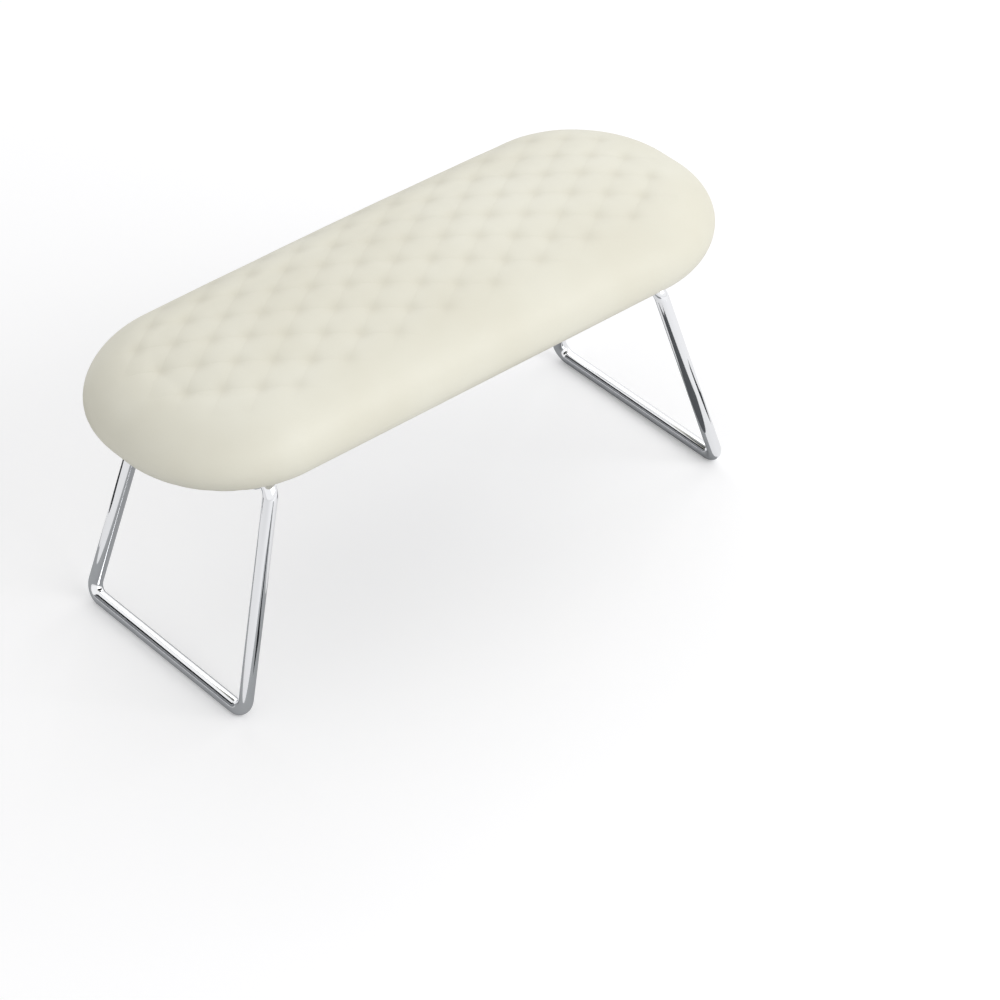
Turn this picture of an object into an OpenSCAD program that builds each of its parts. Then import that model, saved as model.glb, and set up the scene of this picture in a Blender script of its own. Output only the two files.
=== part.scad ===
// Folding arm rest stand: a quilted cushion on two folding wire legs.
// Origin: centre of the stand, on the surface that it stands on.
// X runs along the cushion, Y across it, Z is up. Left is -X, front is -Y.

/* [Cushion] */
// Length of the cushion
cushion_length = 380; // [340:5:420]
// Width of the cushion
cushion_width = 145; // [140:1:180]
// Length of the straight part of each end
end_flat = 11; // [4:1:24]
// Thickness of the cushion at its crown
cushion_height = 44; // [40:1:60]
// Radius of the rounding along the lower edge
lower_round = 15; // [12:1:16]
// Width of the rounding along the upper edge
upper_round = 36; // [28:1:42]
// Rise of the crown above the rounded edge
crown_rise = 2.5; // [1:0.5:5]
// Thickness of the leather cover
skin_t = 1.2; // [0.8:0.1:1.6]
// Gap kept round soft pieces
soft_gap = 0.3; // [0.2:0.1:0.6]

/* [Quilting] */
// Length of a diamond, along the cushion
diamond_length = 32.6; // [28:0.2:40]
// Width of a diamond, across the cushion
diamond_width = 23.2; // [20:0.4:28]
// Depth of the quilting where two channels cross
channel_depth = 1.4; // [0.6:0.2:2.4]
// Distance over which the channels fade out towards the edge
fade_width = 8; // [4:1:16]
// Distance from the side's last ring of points to the quilted field
rim_gap = 2.5; // [2:0.1:4]

/* [Base board] */
// Thickness of the plywood board
board_t = 10; // [9:0.5:14]
// Distance from the cushion's outline to the board's edge
board_inset = 17; // [16:0.5:18]
// Distance from the cushion's outline to the raw edge of the turned-in cover
hem_inset = 26; // [24:0.5:27]
// Thickness of the lining under the board
lining_t = 0.8; // [0.5:0.1:1.2]
// Distance from the cushion's outline to the lining's edge
lining_inset = 18.5; // [17:0.5:20]

/* [Staples] */
// Length of a staple's crown
staple_crown = 10; // [6:1:12]
// Depth of a staple's legs
staple_leg = 7; // [5:0.5:8]
// Thickness of the staple wire
staple_wire = 0.7; // [0.5:0.1:0.9]
// Distance from the cushion's outline to the row of staples
staple_inset = 21; // [19.5:0.5:22]
// Spacing of the staples along the straight edges
staple_pitch = 27; // [20:1:40]

/* [Legs] */
// Diameter of the leg wire
wire_d = 8; // [6:0.5:9]
// Angle at which each opened leg leans outwards
splay_angle = 15.6; // [10:0.2:18]
// Distance from the cushion's side in to the leg's corner at the floor
foot_inset = 6.5; // [4:0.5:14]
// Distance from the cushion's side in to the leg's corner at the hinge
hinge_inset = 21; // [16:0.5:22]
// Bend radius at the floor, to the middle of the wire
foot_bend = 7; // [6:0.5:14]
// Bend radius at the hinge, to the middle of the wire
hinge_bend = 8; // [6:0.5:8.5]
// Gap between the two folded legs
folded_gap = 0.6; // [0.4:0.2:4]
// Diameter of the hinge pins, turned on the ends of the wire
pin_d = 7.8; // [7.6:0.05:7.9]
// Thinning of the wire in its bends, on the radius
bend_thinning = 0.02; // [0.01:0.01:0.05]
// Overlap of a straight run with the bends at its ends
run_root = 0.3; // [0.1:0.1:0.4]
// Chamfer on the ends of the pins
pin_chamfer = 0.8; // [0.4:0.1:1.2]

/* [Hinges] */
// Thickness of the hinge plate and its stop lugs
plate_t = 1.5; // [1.2:0.1:2]
// Length of the hinge plate, along the cushion
plate_length = 37; // [36:0.5:38]
// Thickness of the saddle strap
saddle_t = 1.2; // [1:0.1:1.6]
// Width of the saddle strap
saddle_width = 14; // [10:1:15]
// Distance from the cushion's side in to the middle of a saddle
saddle_inset = 37.5; // [37:0.5:38.5]
// Wall of the nylon bush
bush_wall = 2.05; // [1.6:0.05:2.2]
// Running clearance between the pin and the bush, on the radius
running_gap = 0.05; // [0.02:0.01:0.1]
// Seating clearance of pressed pieces, on the radius
seat_gap = 0.02; // [0.01:0.01:0.04]
// Thickness of the stop cam
cam_t = 4; // [3:0.5:5]
// Space between the stop cam and the saddle
cam_space = 2; // [1:0.5:3]
// Clearance between the stop cam and its lugs
cam_gap = 0.1; // [0.05:0.05:0.3]
// Wall of the stop cam round the pin
cam_wall = 1.5; // [1.1:0.1:1.7]
// Margin of the plate beyond the pin's end and the saddle
plate_margin = 2; // [1:0.5:2.5]
// Corner radius of the plate and of the saddle's feet
plate_corner = 3; // [1:0.5:4]
// Corner radius of the stop lugs
lug_corner = 1; // [0.5:0.1:1.4]
// Margin of the saddle's feet beyond the screw heads
foot_edge = 1; // [0.5:0.1:1.2]

/* [Screws] */
// Diameter of a bracket screw
screw_d = 4; // [3:0.5:4]
// Length of a bracket screw under its head
screw_length = 12; // [9:0.5:12]
// Diameter of the screw's head
head_d = 7.5; // [6:0.5:8]
// Height of the screw's head
head_h = 2.4; // [2:0.1:3]
// Clearance of the screw holes, on the diameter
hole_gap = 0.3; // [0.2:0.1:0.5]
// Bite of the thread in the wood, on the diameter
thread_bite = 0.6; // [0.4:0.1:0.8]
// Distance from the hinge axis to a screw
screw_offset = 12.8; // [12.5:0.1:13]
// Distance from the cushion's outline in to the outer screws
screw_inset = 30; // [29:0.5:34]
// Width of the cross recess in the head
recess_w = 0.9; // [0.6:0.1:1.2]
// Length of the cross recess in the head
recess_l = 4; // [3:0.5:5]
// Depth of the cross recess in the head
recess_depth = 1.4; // [1:0.1:1.6]
// Clearance past the screw's point in the board
pilot_gap = 0.5; // [0.2:0.1:1]
// Length of the screw's point
screw_point = 3; // [2:0.5:4]

/* [Hidden] */
// Extra length of every cut
over = 1;
fine = 64;
corner_steps = 7;
side_steps = 4;
end_staples = 3;

half_length = cushion_length / 2;
half_width = cushion_width / 2;
corner_radius = half_width - end_flat / 2;
corner_x = half_length - corner_radius;
corner_y = half_width - corner_radius;

// The outer screws keep their distance from the outline, and the hinges go where they are
saddle_offset = half_width - saddle_inset;
screw_x = corner_x + sqrt(pow(corner_radius - screw_inset, 2) - pow(saddle_offset - corner_y, 2));
axis_x = screw_x - screw_offset;

// The folded legs meet end to end in the middle, which sets their length and the stand's height
wire_r = wire_d / 2;
pin_r = pin_d / 2;
foot_half_width = half_width - foot_inset;
hinge_half_width = half_width - hinge_inset;
leg_length = axis_x - wire_r - folded_gap / 2;
flare_angle = atan((foot_half_width - hinge_half_width) / leg_length);
foot_tangent = foot_bend * tan((90 + flare_angle) / 2);
hinge_tangent = hinge_bend * tan((90 - flare_angle) / 2);
fold_angle = 90 + splay_angle;
axis_height = wire_r + leg_length * cos(splay_angle);

bush_r = pin_r + running_gap + bush_wall;
plate_base = axis_height + bush_r;
lining_base = plate_base + plate_t;
underside_height = lining_base + lining_t;
form_base = underside_height + staple_wire;
top_height = underside_height + cushion_height;
upper_height = top_height - crown_rise - form_base - lower_round;

saddle_r = bush_r + seat_gap;
saddle_outer = saddle_r + saddle_t;
saddle_inner_end = saddle_offset - saddle_width / 2;
saddle_outer_end = saddle_offset + saddle_width / 2;
foot_z = bush_r - saddle_t;
foot_reach = screw_offset + head_d / 2 + foot_edge;
cam_outer_end = saddle_inner_end - cam_space;
cam_inner_end = cam_outer_end - cam_t;
pin_end = cam_inner_end - pin_chamfer - cam_gap;
tongue_end = pin_end - plate_margin;
shoulder_y = saddle_inner_end - cam_space / 2;
plate_outer_end = saddle_outer_end + plate_margin;
cam_r = pin_r + cam_wall;
cam_slope = 90 - fold_angle / 2;
lug_inner = cam_r + cam_gap;
lug_outer = lug_inner + plate_t;
lug_drop = cam_r * tan(cam_slope) + plate_t / 2;

pilot_d = screw_d - thread_bite;
hole_d = screw_d + hole_gap;
rebate_depth = staple_wire + skin_t;

// Stations up the side of the cushion: the angles of its lower and upper rounding
lower_angles = [0, 30, 60, 90];
field_angle = 72;
upper_angles = [25, 50, field_angle];

// The quilted field: a grid of quarter diamonds inside the last station
step_x = diamond_length / 4;
step_y = diamond_width / 4;
rim_depth = upper_round * (1 - cos(field_angle));
field_depth = rim_depth + rim_gap;
field_rows = floor((half_width - field_depth) / step_y);
// Depth of a channel between its crossings, as a share of its depth at them
channel_share = 0.7;

// Flat rectangle with rounded corners, centred
module rounded(across, deep, r) {
    square([across - 2 * r, deep], center = true);
    square([across, deep - 2 * r], center = true);
    for (sx = [-1, 1]) {
        for (sy = [-1, 1]) {
            translate([sx * (across / 2 - r), sy * (deep / 2 - r)])
                circle(r = r, $fn = 2 * fine);
        }
    }
}

// Outline of the cushion, drawn in by an inset
module plan(inset) {
    rounded(2 * (half_length - inset), 2 * (half_width - inset), corner_radius - inset);
}

// The same outline as a ring of points at one height, counter-clockwise
function corner_points(sx, sy, start, r) = [
    for (k = [0 : corner_steps])
        let (a = start + 90 * k / corner_steps)
        [sx * corner_x + r * cos(a), sy * corner_y + r * sin(a)]
];
function side_points(sy, r) = [
    for (k = [1 : side_steps - 1])
        [sy * corner_x * (1 - 2 * k / side_steps), sy * (corner_y + r)]
];
function ring(inset, z) =
    let (r = corner_radius - inset)
    [for (p = concat(
        corner_points(1, 1, 0, r),
        side_points(1, r),
        corner_points(-1, 1, 90, r),
        corner_points(-1, -1, 180, r),
        side_points(-1, r),
        corner_points(1, -1, 270, r)
    )) [p[0], p[1], z]];

// Depth of a point inside the cushion's outline
function depth_at(x, y) =
    let (qx = abs(x) - corner_x, qy = abs(y) - corner_y)
    corner_radius - norm([max(qx, 0), max(qy, 0)]) - min(max(qx, qy), 0);

// Height of the unquilted top at a depth inside the outline
function top_at(depth) =
    let (
        edge = 1 - min(depth / upper_round, 1),
        rise = 1 - max(depth - upper_round, 0) / (half_width - upper_round)
    )
    form_base + lower_round + upper_height * sqrt(1 - edge * edge) + crown_rise * (1 - rise * rise);

// Rings of the cushion's side from its underside up, drawn in by an inset and lowered by a drop
function side_rings(inset, drop, angles) = concat(
    [for (a = lower_angles)
        let (r = lower_round - inset)
        ring(inset + r * (1 - sin(a)), form_base + inset + r * (1 - cos(a)))],
    [for (a = angles)
        let (r = upper_round - inset)
        ring(inset + r * (1 - cos(a)), form_base + lower_round + (upper_height - inset - drop) * sin(a))]
);

// Faces between stacked rings of n points
function band_faces(rings, n) = [
    for (k = [0 : rings - 2])
        for (i = [0 : n - 1])
            let (j = (i + 1) % n, low = k * n, high = low + n)
            for (f = [[low + i, high + j, low + j], [low + i, high + i, high + j]])
                f
];

// Faces between two rows of points, each a list of [index, key] in rising order of key
function stitch(a, b, i = 0, j = 0) =
    let (a_done = i == len(a) - 1, b_done = j == len(b) - 1)
    a_done && b_done ? [] :
    b_done || (!a_done && a[i + 1][1] < b[j + 1][1])
        ? concat([[a[i][0], b[j][0], a[i + 1][0]]], stitch(a, b, i + 1, j))
        : concat([[a[i][0], b[j][0], b[j + 1][0]]], stitch(a, b, i, j + 1));

// Plain crowned form, used for what lies under the cover
module plain_form(inset, drop) {
    middle = (upper_round + half_width) / 2;
    rings = concat(
        side_rings(inset, drop, concat(upper_angles, [90])),
        [ring(middle, top_at(middle) - inset - drop)]
    );
    n = len(rings[0]);
    last = (len(rings) - 1) * n;
    polyhedron(
        points = [for (r = rings) for (p = r) p],
        faces = concat(
            [[for (i = [0 : n - 1]) i]],
            band_faces(len(rings), n),
            [[for (i = [n - 1 : -1 : 0]) last + i]]
        )
    );
}

// Drop of the quilted top: deepest where channels cross, none in the middle of a diamond
function quilt_drop(x, y) =
    let (
        across = x / diamond_length + 1 / 4,
        along = y / diamond_width - 1 / 4,
        first = abs(sin(180 * (across - along))),
        second = abs(sin(180 * (across + along))),
        fade = max(min((depth_at(x, y) - rim_depth) / fade_width, 1), 0)
    )
    channel_depth * fade
        * (channel_share * (1 - first * second) + (1 - channel_share) * (1 - first) * (1 - second));

// Rows of the quilted field: the grid's columns, and one point more at each end
function row_end(q) =
    let (r = corner_radius - field_depth, v = max(abs(q) * step_y - corner_y, 0))
    corner_x + sqrt(r * r - v * v);
function row_columns(q) = floor(row_end(q) / step_x - 1 / 2);
function row_x(q) =
    let (columns = row_columns(q))
    concat([-row_end(q)], [for (p = [-columns : columns]) p * step_x], [row_end(q)]);
function row_first(q, first) = q == -field_rows ? first : row_first(q - 1, first) + len(row_x(q - 1));

// A row's [index, key] list; the shifted keys turn the faces' diagonals along the channels
function row_keys(q, first) =
    let (xs = row_x(q), start = row_first(q, first), columns = row_columns(q))
    [for (k = [0 : len(xs) - 1])
        let (inner = k > 0 && k < len(xs) - 1, crossing = (k + columns + q) % 2 != 0)
        [start + k, inner && crossing ? xs[k] - step_x / 4 : xs[k]]];

// The field's border, counter-clockwise from the middle of its right end
function field_border(first) =
    let (top = row_first(field_rows, first), count = len(row_x(field_rows)))
    concat(
        [for (q = [0 : field_rows]) row_first(q, first) + len(row_x(q)) - 1],
        [for (k = [count - 2 : -1 : 0]) top + k],
        [for (q = [field_rows - 1 : -1 : -field_rows]) row_first(q, first)],
        [for (k = [1 : count - 1]) first + k],
        [for (q = [1 - field_rows : -1]) row_first(q, first) + len(row_x(q)) - 1]
    );

// A closed row's [index, key] list, keyed by the angle about the middle
function turn_keys(indices, points) =
    let (keys = [for (i = indices) [i, (atan2(points[i][1], points[i][0]) + 360) % 360]])
    concat(keys, [[keys[0][0], keys[0][1] + 360]]);

module quilted_form() {
    rings = side_rings(0, 0, upper_angles);
    n = len(rings[0]);
    first = len(rings) * n;
    points = concat(
        [for (r = rings) for (p = r) p],
        [for (q = [-field_rows : field_rows])
            for (x = row_x(q))
                let (y = q * step_y)
                [x, y, top_at(depth_at(x, y)) - quilt_drop(x, y)]]
    );
    last_ring = [for (i = [0 : n - 1]) first - n + i];
    polyhedron(
        points = points,
        faces = concat(
            [[for (i = [0 : n - 1]) i]],
            band_faces(len(rings), n),
            stitch(turn_keys(last_ring, points), turn_keys(field_border(first), points)),
            [for (q = [-field_rows : field_rows - 1])
                for (f = stitch(row_keys(q, first), row_keys(q + 1, first))) f]
        )
    );
}

// Leather cover, turned in under the board, with an opening inside its raw edge
module cover() {
    color("ivory")
    difference() {
        quilted_form();
        plain_form(skin_t, channel_depth);
        translate([0, 0, form_base - over])
            linear_extrude(height = skin_t + 2 * over)
                plan(hem_inset);
    }
}

// Foam block that wraps the edge of the board
module foam_pad() {
    color("khaki")
    difference() {
        plain_form(skin_t + soft_gap, channel_depth);
        translate([0, 0, underside_height])
            linear_extrude(height = board_t)
                plan(board_inset - soft_gap);
    }
}

// Plywood board, rebated for the turned-in cover and drilled for the bracket screws
module base_board() {
    color("burlywood")
    difference() {
        translate([0, 0, underside_height])
            linear_extrude(height = board_t)
                plan(board_inset);
        translate([0, 0, underside_height - over])
            linear_extrude(height = rebate_depth + over)
                difference() {
                    plan(board_inset - over);
                    plan(hem_inset + soft_gap);
                }
        at_screws()
            cylinder(d = pilot_d, h = screw_length + pilot_gap, $fn = fine);
    }
}

module underside_lining() {
    color("gainsboro")
    difference() {
        translate([0, 0, lining_base])
            linear_extrude(height = lining_t)
                plan(lining_inset);
        at_screws()
            cylinder(d = hole_d, h = screw_length, $fn = fine);
    }
}

// One staple, driven up from the board's lower face
module staple() {
    translate([-staple_crown / 2, -staple_wire / 2, 0])
        cube([staple_crown, staple_wire, staple_wire]);
    for (sx = [0, 1]) {
        translate([-staple_crown / 2 + sx * (staple_crown - staple_wire), -staple_wire / 2, 0])
            cube([staple_wire, staple_wire, staple_leg]);
    }
}

module staples() {
    r = corner_radius - staple_inset;
    count = floor(corner_x / staple_pitch);
    color("silver")
    for (sy = [-1, 1]) {
        for (k = [-count : count]) {
            translate([k * staple_pitch, sy * (corner_y + r), underside_height])
                staple();
        }
        for (sx = [-1, 1]) {
            for (k = [0 : end_staples - 1]) {
                a = 90 * (k + 1 / 2) / end_staples;
                translate([sx * (corner_x + r * cos(a)), sy * (corner_y + r * sin(a)), underside_height])
                    rotate([0, 0, sx * sy * (a - 90)])
                        staple();
            }
        }
    }
}

// Puts a hinge piece at its corner; it is drawn on the axis with +X outboard and +Y outward
module at_hinge(sx, sy) {
    mirror([sx < 0 ? 1 : 0, 0, 0])
        mirror([0, sy < 0 ? 1 : 0, 0])
            translate([axis_x, 0, axis_height])
                children();
}

// Extrudes an outline of the XZ plane from one Y to another
module across_y(start, end) {
    translate([0, end, 0])
        rotate([90, 0, 0])
            linear_extrude(height = end - start)
                children();
}

// Puts a copy at each screw's seat on a saddle's feet
module at_screws() {
    for (sx = [-1, 1]) {
        for (sy = [-1, 1]) {
            at_hinge(sx, sy)
                for (side = [-1, 1]) {
                    translate([side * screw_offset, saddle_offset, foot_z])
                        children();
                }
        }
    }
}

// Plate with a narrow tongue, whose edges are bent down as the two stop lugs
module hinge_plate() {
    width = plate_outer_end - shoulder_y;
    color("silver")
    difference() {
        union() {
            translate([0, shoulder_y + width / 2, bush_r])
                linear_extrude(height = plate_t)
                    rounded(plate_length, width, plate_corner);
            translate([-lug_inner, tongue_end, bush_r])
                cube([2 * lug_inner, shoulder_y + plate_corner - tongue_end, plate_t]);
            across_y(cam_inner_end, cam_outer_end)
                difference() {
                    translate([0, (bush_r + plate_t - lug_drop) / 2])
                        rounded(2 * lug_outer, bush_r + plate_t + lug_drop, lug_corner);
                    translate([-lug_inner, -lug_drop - over])
                        square([2 * lug_inner, lug_drop + over + bush_r]);
                }
        }
        for (side = [-1, 1]) {
            translate([side * screw_offset, saddle_offset, bush_r - over])
                cylinder(d = hole_d, h = plate_t + 2 * over, $fn = fine);
        }
    }
}

// Strap that holds the bush up against the plate
module saddle() {
    color("silver")
    difference() {
        intersection() {
            across_y(saddle_inner_end, saddle_outer_end)
                difference() {
                    union() {
                        circle(r = saddle_outer, $fn = 2 * fine);
                        translate([-saddle_outer, 0])
                            square([2 * saddle_outer, bush_r]);
                        translate([-foot_reach, foot_z])
                            square([2 * foot_reach, saddle_t]);
                    }
                    circle(r = saddle_r, $fn = 2 * fine);
                    translate([-saddle_r, 0])
                        square([2 * saddle_r, bush_r + over]);
                    translate([-saddle_outer - over, bush_r])
                        square([2 * (saddle_outer + over), saddle_outer]);
                }
            translate([0, saddle_offset, -saddle_outer - over])
                linear_extrude(height = saddle_outer + bush_r + 2 * over)
                    rounded(2 * foot_reach, saddle_width, plate_corner);
        }
        for (side = [-1, 1]) {
            translate([side * screw_offset, saddle_offset, foot_z - over])
                cylinder(d = hole_d, h = saddle_t + 2 * over, $fn = fine);
        }
    }
}

// Nylon bush that the pin turns in
module bush() {
    color("whitesmoke")
    across_y(saddle_inner_end, saddle_outer_end)
        difference() {
            circle(r = bush_r, $fn = 2 * fine);
            circle(r = pin_r + running_gap, $fn = 2 * fine);
        }
}

// Stop cam: its two flats meet the lugs when the leg is open and when it is folded
module cam() {
    color("dimgray")
    across_y(cam_inner_end, cam_outer_end)
        difference() {
            union() {
                circle(r = cam_r, $fn = 2 * fine);
                polygon([
                    [0, 0],
                    [cam_r * cos(2 * cam_slope), -cam_r * sin(2 * cam_slope)],
                    [cam_r, -cam_r * tan(cam_slope)],
                    [cam_r, 0]
                ]);
            }
            circle(r = pin_r + seat_gap, $fn = 2 * fine);
        }
}

// One pan-head screw, seated at z = 0 and pointing up
module screw() {
    cylinder(d = screw_d, h = screw_length - screw_point, $fn = fine);
    translate([0, 0, screw_length - screw_point])
        cylinder(d1 = screw_d, d2 = recess_w, h = screw_point, $fn = fine);
    difference() {
        translate([0, 0, -head_h])
            cylinder(d1 = head_d - head_h, d2 = head_d, h = head_h, $fn = fine);
        translate([-recess_l / 2, -recess_w / 2, -head_h - over])
            cube([recess_l, recess_w, recess_depth + over]);
        translate([-recess_w / 2, -recess_l / 2, -head_h - over])
            cube([recess_w, recess_l, recess_depth + over]);
    }
}

module bracket_screws() {
    color("gray")
    at_screws()
        screw();
}

// A straight run of wire from the origin along Z; what follows it starts at its end
module run(length) {
    translate([0, 0, -run_root])
        cylinder(r = wire_r, h = length + 2 * run_root, $fn = fine);
    translate([0, 0, length])
        children();
}

// A bend of the wire from the origin, turning from Z towards X; what follows it starts at its end
module bend(radius, angle) {
    translate([radius, 0, 0]) {
        rotate([90, 0, 180])
            rotate_extrude(angle = angle, $fn = fine)
                translate([radius, 0])
                    circle(r = wire_r - bend_thinning, $fn = fine);
        rotate([0, angle, 0])
            translate([-radius, 0, 0])
                children();
    }
}

// A hinge pin of a length past the bend, chamfered at its end
module pin(length) {
    translate([0, 0, -run_root])
        cylinder(r = pin_r, h = length + run_root - pin_chamfer, $fn = fine);
    translate([0, 0, length - pin_chamfer])
        cylinder(r1 = pin_r, r2 = pin_r - pin_chamfer, h = pin_chamfer, $fn = fine);
}

// One leg: a single bent wire, from one hinge pin round the foot to the other
module leg(sx) {
    foot_half = foot_half_width - foot_tangent;
    color("gainsboro")
    at_hinge(sx, 1)
        rotate([0, -splay_angle, 0]) {
            translate([0, -foot_half, -leg_length])
                rotate([-90, 0, 0])
                    run(2 * foot_half);
            for (sy = [0, 1]) {
                mirror([0, sy, 0])
                    translate([0, foot_half, -leg_length])
                        rotate([0, -90, -90])
                            bend(foot_bend, 90 + flare_angle)
                                run(leg_length / cos(flare_angle) - foot_tangent - hinge_tangent)
                                    bend(hinge_bend, 90 - flare_angle)
                                        pin(hinge_half_width - hinge_tangent - pin_end);
            }
        }
}

cover();
foam_pad();
base_board();
underside_lining();
staples();
at_hinge(-1, -1) hinge_plate();  // plate_left_front
at_hinge(-1, 1) hinge_plate();  // plate_left_back
at_hinge(1, -1) hinge_plate();  // plate_right_front
at_hinge(1, 1) hinge_plate();  // plate_right_back
at_hinge(-1, -1) saddle();  // saddle_left_front
at_hinge(-1, 1) saddle();  // saddle_left_back
at_hinge(1, -1) saddle();  // saddle_right_front
at_hinge(1, 1) saddle();  // saddle_right_back
at_hinge(-1, -1) bush();  // bush_left_front
at_hinge(-1, 1) bush();  // bush_left_back
at_hinge(1, -1) bush();  // bush_right_front
at_hinge(1, 1) bush();  // bush_right_back
at_hinge(-1, -1) cam();  // cam_left_front
at_hinge(-1, 1) cam();  // cam_left_back
at_hinge(1, -1) cam();  // cam_right_front
at_hinge(1, 1) cam();  // cam_right_back
bracket_screws();
leg(-1);  // left_leg
leg(1);  // right_leg
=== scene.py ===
# Folding arm rest: an ivory quilted cushion on two folding chromed wire legs.
import math

import bpy
from mathutils import Matrix, Vector, kdtree
from mathutils.geometry import delaunay_2d_cdt


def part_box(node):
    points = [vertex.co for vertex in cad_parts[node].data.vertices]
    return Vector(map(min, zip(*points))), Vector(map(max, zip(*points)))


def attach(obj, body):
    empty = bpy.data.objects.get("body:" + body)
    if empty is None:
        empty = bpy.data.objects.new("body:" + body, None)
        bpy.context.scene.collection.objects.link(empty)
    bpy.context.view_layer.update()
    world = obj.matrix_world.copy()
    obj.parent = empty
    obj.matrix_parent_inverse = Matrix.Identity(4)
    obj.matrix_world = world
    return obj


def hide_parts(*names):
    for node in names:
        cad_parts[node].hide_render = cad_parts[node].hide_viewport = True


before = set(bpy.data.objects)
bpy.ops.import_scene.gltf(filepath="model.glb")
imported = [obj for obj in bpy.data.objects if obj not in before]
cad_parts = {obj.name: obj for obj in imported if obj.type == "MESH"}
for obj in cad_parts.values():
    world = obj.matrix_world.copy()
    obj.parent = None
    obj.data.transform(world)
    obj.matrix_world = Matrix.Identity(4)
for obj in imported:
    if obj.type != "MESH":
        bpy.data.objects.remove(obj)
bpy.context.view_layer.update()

mm = 0.001
print("frame loaded:", len(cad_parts), "nodes")


def hexColour(code, alpha=1.0):  # sRGB hex to the linear values that the nodes take
    def linear(part):
        value = int(part, 16) / 255
        return value / 12.92 if value <= 0.04045 else ((value + 0.055) / 1.055) ** 2.4
    return tuple(linear(code[i:i + 2]) for i in (1, 3, 5)) + (alpha,)


def grey(value):
    return (value, value, value, 1.0)


def newMaterial(name):
    material = bpy.data.materials.new(name)
    material.use_nodes = True
    material.node_tree.nodes.clear()
    return material, material.node_tree


def addNode(tree, kind, values=None, links=None, ramp=None, **settings):
    node = tree.nodes.new(kind)
    for key, value in settings.items():
        setattr(node, key, value)
    for key, value in (values or {}).items():
        node.inputs[key].default_value = value
    for key, (other, output) in (links or {}).items():
        tree.links.new(other.outputs[output], node.inputs[key])
    for element, (place, colour) in zip(node.color_ramp.elements if ramp else [], ramp or []):
        element.position = place
        element.color = colour
    return node


def perMetre(sizeMm):  # a texture's scale from the real size of one of its cells
    return 1000 / sizeMm


def endMaterial(material, tree, shader):
    addNode(tree, "ShaderNodeOutputMaterial", links={"Surface": (shader, 0)})
    return material


def dressNodes(names, material):
    for name in names:
        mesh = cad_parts[name].data
        mesh.materials.clear()
        mesh.materials.append(material)


def addPiece(name, points, faces, material, body):
    mesh = bpy.data.meshes.new(name)
    mesh.from_pydata(points, [], faces)
    mesh.validate()
    mesh.materials.append(material)
    mesh.polygons.foreach_set("use_smooth", [True] * len(mesh.polygons))
    piece = bpy.data.objects.new(name, mesh)
    bpy.context.scene.collection.objects.link(piece)
    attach(piece, body)
    return piece


# Camera: standing eye height over a table, looking from the front left, far enough off to flatten
camera = {
    "azimuth": -40.63,           # degrees, from straight in front
    "elevation": 38.10,
    "distance": 2.31521,
    "target": (0.0, 0.0, 0.15),
    "frameWidth": 1000,          # pixels, as the next two values count them
    "focalPixels": 4397.15,
    "centrePixel": (407.48, 305.66),
    "sensorMm": 36,
}


def addCamera():
    azimuth, elevation = math.radians(camera["azimuth"]), math.radians(camera["elevation"])
    back = Vector((math.sin(azimuth) * math.cos(elevation),
                   -math.cos(azimuth) * math.cos(elevation), math.sin(elevation)))
    right = Vector((math.cos(azimuth), math.sin(azimuth), 0))
    up = back.cross(right)
    perPixel = camera["distance"] / camera["focalPixels"]
    middle = camera["frameWidth"] / 2
    place = (Vector(camera["target"]) + back * camera["distance"]
             - right * (camera["centrePixel"][0] - middle) * perPixel
             + up * (camera["centrePixel"][1] - middle) * perPixel)
    lens = bpy.data.cameras.new("camera")
    lens.sensor_width = camera["sensorMm"]
    lens.lens = camera["focalPixels"] / camera["frameWidth"] * camera["sensorMm"]
    holder = bpy.data.objects.new("camera", lens)
    holder.matrix_world = Matrix.Translation(place) @ Matrix((right, up, back)).transposed().to_4x4()
    bpy.context.scene.collection.objects.link(holder)
    bpy.context.scene.camera = holder


addCamera()

# Studio: white paper in a white room, three softboxes, and dark and grey cards for the chrome to mirror
studio = {
    "room": 0.69,                # strength of the white room
    "floorRadius": 5,
    "paper": "#F1F1F2",          # as the camera sees it
    "paperBounce": "#E2E2E3",    # as it lights the object and shows in reflections
    "paperGlow": 0.185,          # added for camera and reflections, so lit paper is white and shadows stay
    "lamps": [                   # place, size, watts
        ("frontSoftbox", (0.42, -1.36, 1.0), (1.5, 0.9), 10.8),
        ("sideSoftbox", (1.35, 0.25, 1.0), (0.9, 0.7), 2.4),
        ("rearSoftbox", (0.7, 1.25, 1.15), (1.2, 0.8), 3.6),
    ],
    "aim": (0.0, 0.0, 0.14),
    "cards": [                   # seen only in reflections: corner, first side, second side, shade
        ((-1.4, 0.75, 0.72), (0.9, 0.75, 0.0), (-0.1, 0.1, 0.66), "#101113"),
        ((-1.4, 0.75, 0.02), (0.9, 0.75, 0.0), (0.0, 0.0, 0.68), "#8C8E91"),
        ((-0.240, -0.420, 0.0003), (0.180, 0.0, 0.0), (0.0, 0.560, 0.0), "#B0B2B4"),
        ((-0.150, -0.420, 0.0006), (0.045, 0.0, 0.0), (0.0, 0.290, 0.0), "#2A2B2E"),
        ((-0.310, 0.190, 0.0003), (0.170, 0.0, 0.0), (0.0, 0.360, 0.0), "#3A3B3E"),
        ((0.140, 0.190, 0.0003), (0.170, 0.0, 0.0), (0.0, 0.360, 0.0), "#3A3B3E"),
        ((0.055, -0.128, 0.0006), (0.086, 0.0, 0.0), (0.0, 0.108, 0.0), "#5C5E61"),
        ((0.120, -0.070, 0.0003), (0.048, 0.0, 0.0), (0.0, 0.160, 0.0), "#A4A6A8"),
        ((0.225, -0.180, 0.0003), (0.045, 0.0, 0.0), (0.0, 0.090, 0.0), "#3A3B3E"),
    ],
}


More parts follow.
